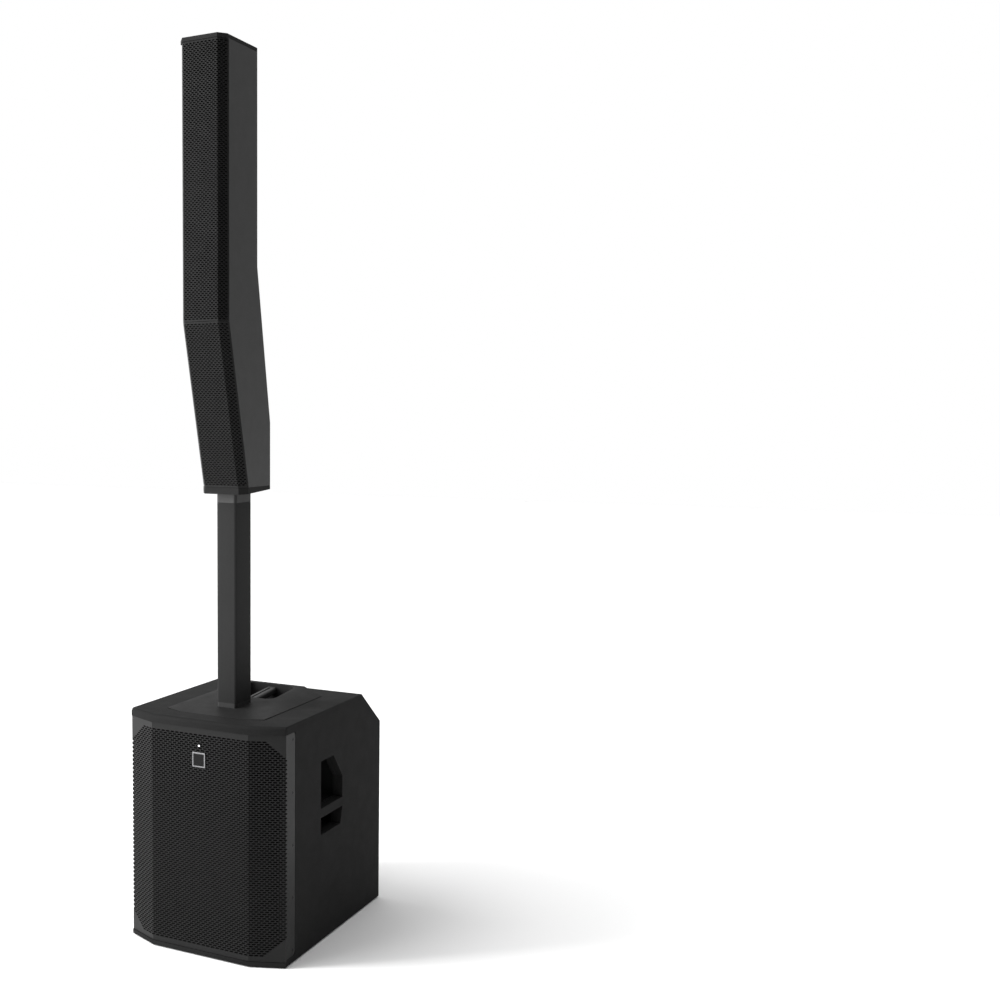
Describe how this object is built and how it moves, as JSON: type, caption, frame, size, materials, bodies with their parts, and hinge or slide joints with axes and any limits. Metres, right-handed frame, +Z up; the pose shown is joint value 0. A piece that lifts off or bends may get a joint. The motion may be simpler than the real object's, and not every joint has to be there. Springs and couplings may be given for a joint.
{
  "type": "column pa system",
  "caption": "Powered column loudspeaker: a bass cabinet on the floor, a column that plugs into its top and a slim array with a leaning foot, black with perforated steel grilles.",
  "frame": {"origin": "on the floor, at the middle of the bass cabinet's footprint", "axes": "+Z up along the column, -Y out of the front grilles, +X to the right seen from the front"},
  "size_m": [0.376, 0.495, 1.8787],
  "materials": {
    "cabinet_paint": "black textured paint on plywood",
    "raw_wood": "stained plywood",
    "moulded_plastic": "black moulded plastic, fine texture",
    "handle_grip": "black moulded grip",
    "array_shell": "black moulded plastic, fine texture",
    "inner_plastic": "black plastic",
    "grille_steel": "black powder-coated perforated steel",
    "foam": "black acoustic foam",
    "black_screw": "black zinc",
    "badge": "satin grey frame, dark centre",
    "led_lens": "lit white lens",
    "rubber": "black rubber",
    "cast_frame": "black coated cast aluminium",
    "magnet": "ferrite and plated steel",
    "cone_paper": "black pulp cone",
    "spider_cloth": "treated cloth",
    "copper": "copper winding on a former",
    "panel_steel": "black powder coat",
    "heatsink": "black anodised",
    "circuit_board": "circuit board with parts",
    "socket_plastic": "black nylon",
    "knob_rubber": "soft black rubber",
    "switch_plastic": "black plastic",
    "window": "dark display window",
    "column_paint": "black powder coat, fine texture",
    "fitting_plastic": "black moulded plastic",
    "cable": "black cable"
  },
  "bodies": {
    "sub": {"top_panel": "cabinet_paint", "bottom_panel": "cabinet_paint", "left_side_panel": "cabinet_paint", "right_side_panel": "cabinet_paint", "rear_panel": "cabinet_paint", "rear_slope_panel": "cabinet_paint", "front_baffle": "raw_wood", "port_duct": "raw_wood", "window_brace": "raw_wood", "left_handle_cup": "moulded_plastic", "right_handle_cup": "moulded_plastic", "top_deck": "moulded_plastic", "carry_handle": "handle_grip", "dock_contacts": "inner_plastic", "sub_grille": "grille_steel", "grille_foam": "foam", "grille_screws": "black_screw", "front_badge": "badge", "status_led": "led_lens", "rubber_feet": "rubber", "foot_screws": "black_screw", "woofer_basket": "cast_frame", "woofer_magnet": "magnet", "woofer_screws": "black_screw", "woofer_surround": "rubber", "woofer_spider": "spider_cloth", "amp_panel": "panel_steel", "amp_heatsink": "heatsink", "amp_board": "circuit_board", "power_supply": "circuit_board", "mains_inlet": "socket_plastic", "combo_sockets": "socket_plastic", "line_sockets": "socket_plastic", "amp_screws": "black_screw", "display_window": "window"},
    "woofer_diaphragm": {"woofer_cone": "cone_paper", "voice_coil": "copper"},
    "encoder": {"encoder_knob": "knob_rubber"},
    "channel_1_control": {"channel_1_knob": "knob_rubber"},
    "channel_2_control": {"channel_2_knob": "knob_rubber"},
    "power_switch": {"power_rocker": "switch_plastic"},
    "column": {"pole_tube": "column_paint", "pole_top_fitting": "fitting_plastic", "pole_bottom_fitting": "fitting_plastic", "pole_wiring": "cable"},
    "array": {"array_housing": "array_shell", "array_top_cap": "moulded_plastic", "array_bottom_cap": "moulded_plastic", "array_upper_grille": "grille_steel", "array_lower_grille": "grille_steel", "array_baffle": "inner_plastic", "driver_frames": "cast_frame", "driver_magnets": "magnet", "upper_driver_surrounds": "rubber", "lower_driver_surrounds": "rubber", "array_terminal_board": "circuit_board", "rear_pad": "array_shell"},
    "upper_diaphragms": {"upper_driver_cones": "cone_paper"},
    "lower_diaphragms": {"lower_driver_cones": "cone_paper"}
  },
  "joints": [
    {"name": "column_lift", "type": "slide", "parent": "sub", "child": "column", "axis": [0, 0, 1], "range_m": [0, 0.075]},
    {"name": "array_lift", "type": "slide", "parent": "column", "child": "array", "axis": [0, 0, 1], "range_m": [0, 0.075]},
    {"name": "woofer_travel", "type": "slide", "parent": "sub", "child": "woofer_diaphragm", "axis": [0, -1, 0], "range_m": [-0.006, 0.006], "stiffness_N_per_m": 3000, "deforming": ["woofer_surround", "woofer_spider"]},
    {"name": "upper_cone_travel", "type": "slide", "parent": "array", "child": "upper_diaphragms", "axis": [0, -1, 0], "range_m": [-0.002, 0.002], "stiffness_N_per_m": 6000, "deforming": ["upper_driver_surrounds"]},
    {"name": "lower_cone_travel", "type": "slide", "parent": "array", "child": "lower_diaphragms", "axis": [0, -0.9741, -0.2262], "range_m": [-0.002, 0.002], "stiffness_N_per_m": 2000, "deforming": ["lower_driver_surrounds"]},
    {"name": "encoder_turn", "type": "hinge", "parent": "sub", "child": "encoder", "pos_m": [-0.082, 0.2205, 0.27], "axis": [0, 1, 0], "continuous": true},
    {"name": "channel_1_turn", "type": "hinge", "parent": "sub", "child": "channel_1_control", "pos_m": [-0.015, 0.2205, 0.33], "axis": [0, 1, 0], "range_deg": [-145, 145]},
    {"name": "channel_2_turn", "type": "hinge", "parent": "sub", "child": "channel_2_control", "pos_m": [0.035, 0.2205, 0.33], "axis": [0, 1, 0], "range_deg": [-145, 145]},
    {"name": "power_rock", "type": "hinge", "parent": "sub", "child": "power_switch", "pos_m": [0.095, 0.2185, 0.289], "axis": [1, 0, 0], "range_deg": [0, 12]}
  ],
  "couplings": [
    {"joint": "lower_cone_travel", "follows": "upper_cone_travel", "ratio": 1}
  ]
}
